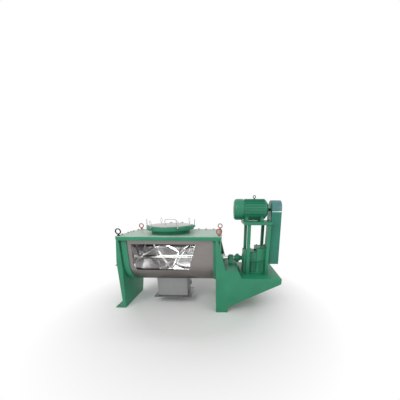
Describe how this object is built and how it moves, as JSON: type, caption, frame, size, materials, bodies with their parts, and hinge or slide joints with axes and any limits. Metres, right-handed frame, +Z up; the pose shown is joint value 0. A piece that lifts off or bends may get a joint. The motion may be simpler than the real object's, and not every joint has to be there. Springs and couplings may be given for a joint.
{
  "type": "ribbon blender",
  "caption": "Horizontal double-ribbon blender: stainless U-shaped trough with a front window, hatch and chute, driven by a belt and gearbox on a green stand.",
  "frame": {"origin": "on the floor, at the centre of the machine's length and depth", "axes": "+X along the shaft from the idle end to the drive end, -Y towards the window side, +Z up"},
  "size_m": [2.7316, 0.858, 1.8473],
  "materials": {
    "green_enamel": "semi-gloss enamel",
    "motor_enamel": "semi-gloss enamel on cast iron",
    "guard_enamel": "gloss enamel",
    "cover_enamel": "satin enamel",
    "stainless_brushed": "brushed stainless steel",
    "stainless_bright": "polished stainless steel",
    "black_oxide": "blackened steel",
    "red_enamel": "weathered red enamel",
    "belt_rubber": "matte rubber",
    "gasket_silicone": "white silicone"
  },
  "bodies": {
    "frame": {"belt_guard": "guard_enamel", "belt_guard_back": "guard_enamel", "belt_guard_face": "guard_enamel", "cover_plate": "cover_enamel", "drive_bearing": "green_enamel", "drive_end_band": "green_enamel", "drive_end_plate": "stainless_brushed", "drive_gland": "stainless_bright", "gearbox_case": "green_enamel", "hatch_gasket": "gasket_silicone", "hatch_neck": "green_enamel", "idle_bearing": "green_enamel", "idle_end_band": "green_enamel", "idle_end_plate": "stainless_brushed", "idle_gland": "stainless_bright", "idle_leg": "green_enamel", "lifting_eye_1": "black_oxide", "lifting_eye_2": "red_enamel", "lifting_eye_3": "red_enamel", "lifting_eye_4": "red_enamel", "motor_fan_cowl": "motor_enamel", "motor_frame": "motor_enamel", "motor_lifting_eye": "black_oxide", "motor_post_1": "green_enamel", "motor_post_2": "green_enamel", "motor_post_3": "green_enamel", "motor_post_4": "green_enamel", "motor_table": "green_enamel", "motor_terminal_box": "motor_enamel", "outlet_chute": "stainless_brushed", "stand_back_plate": "green_enamel", "stand_cross_wall": "green_enamel", "stand_deck": "green_enamel", "stand_front_plate": "green_enamel", "trough_rim": "green_enamel", "trough_shell": "stainless_brushed", "v_belt_1": "belt_rubber", "v_belt_2": "belt_rubber"},
    "rotor": {"main_shaft": "stainless_bright", "inner_ribbon_a": "stainless_bright", "inner_ribbon_b": "stainless_bright", "end_scraper_idle": "stainless_brushed", "end_scraper_drive": "stainless_brushed", "coupling_blender_half": "green_enamel", "coupling_gearbox_half": "green_enamel", "outer_ribbon_left_a": "stainless_bright", "outer_ribbon_left_b": "stainless_bright", "outer_ribbon_right_a": "stainless_bright", "outer_ribbon_right_b": "stainless_bright"},
    "gearbox_input": {"gearbox_pulley": "black_oxide"},
    "motor_rotor": {"motor_pulley": "black_oxide"},
    "lid": {"hatch_lid": "stainless_bright", "lid_handle": "stainless_bright"},
    "flap": {"outlet_flap": "stainless_brushed"},
    "clamp_1": {"hatch_clamp_1": "stainless_bright"},
    "clamp_2": {"hatch_clamp_2": "stainless_bright"},
    "clamp_3": {"hatch_clamp_3": "stainless_bright"},
    "clamp_4": {"hatch_clamp_4": "stainless_bright"},
    "clamp_5": {"hatch_clamp_5": "stainless_bright"},
    "clamp_6": {"hatch_clamp_6": "stainless_bright"}
  },
  "joints": [
    {"name": "rotor_spin", "type": "hinge", "parent": "frame", "child": "rotor", "pos_m": [-0.3512, 0, 0.81], "axis": [1, 0, 0], "continuous": true},
    {"name": "input_spin", "type": "hinge", "parent": "frame", "child": "gearbox_input", "pos_m": [1.1938, 0, 0.93], "axis": [1, 0, 0], "continuous": true},
    {"name": "motor_spin", "type": "hinge", "parent": "frame", "child": "motor_rotor", "pos_m": [1.1288, 0, 1.6253], "axis": [1, 0, 0], "continuous": true},
    {"name": "lid_hinge", "type": "hinge", "parent": "frame", "child": "lid", "pos_m": [-0.4212, 0.41, 1.3802], "axis": [-1, 0, 0], "range_deg": [0, 100]},
    {"name": "flap_hinge", "type": "hinge", "parent": "frame", "child": "flap", "pos_m": [-0.4212, 0.127, 0.45687], "axis": [1, 0, 0], "range_deg": [0, 75]},
    {"name": "clamp_1_swing", "type": "hinge", "parent": "frame", "child": "clamp_1", "pos_m": [-0.0192, 0, 1.3576], "axis": [0, 1, 0], "range_deg": [0, 140]},
    {"name": "clamp_2_swing", "type": "hinge", "parent": "frame", "child": "clamp_2", "pos_m": [-0.1628, 0.30795, 1.3576], "axis": [-0.766, 0.6428, 0], "range_deg": [0, 140]},
    {"name": "clamp_3_swing", "type": "hinge", "parent": "frame", "child": "clamp_3", "pos_m": [-0.6796, 0.30795, 1.3576], "axis": [-0.766, -0.6428, 0], "range_deg": [0, 140]},
    {"name": "clamp_4_swing", "type": "hinge", "parent": "frame", "child": "clamp_4", "pos_m": [-0.8232, 0, 1.3576], "axis": [0, -1, 0], "range_deg": [0, 140]},
    {"name": "clamp_5_swing", "type": "hinge", "parent": "frame", "child": "clamp_5", "pos_m": [-0.6222, -0.34814, 1.3576], "axis": [0.866, -0.5, 0], "range_deg": [0, 140]},
    {"name": "clamp_6_swing", "type": "hinge", "parent": "frame", "child": "clamp_6", "pos_m": [-0.2202, -0.34814, 1.3576], "axis": [0.866, 0.5, 0], "range_deg": [0, 140]}
  ],
  "couplings": [
    {"joint": "input_spin", "follows": "rotor_spin", "ratio": 20},
    {"joint": "motor_spin", "follows": "rotor_spin", "ratio": 40}
  ]
}
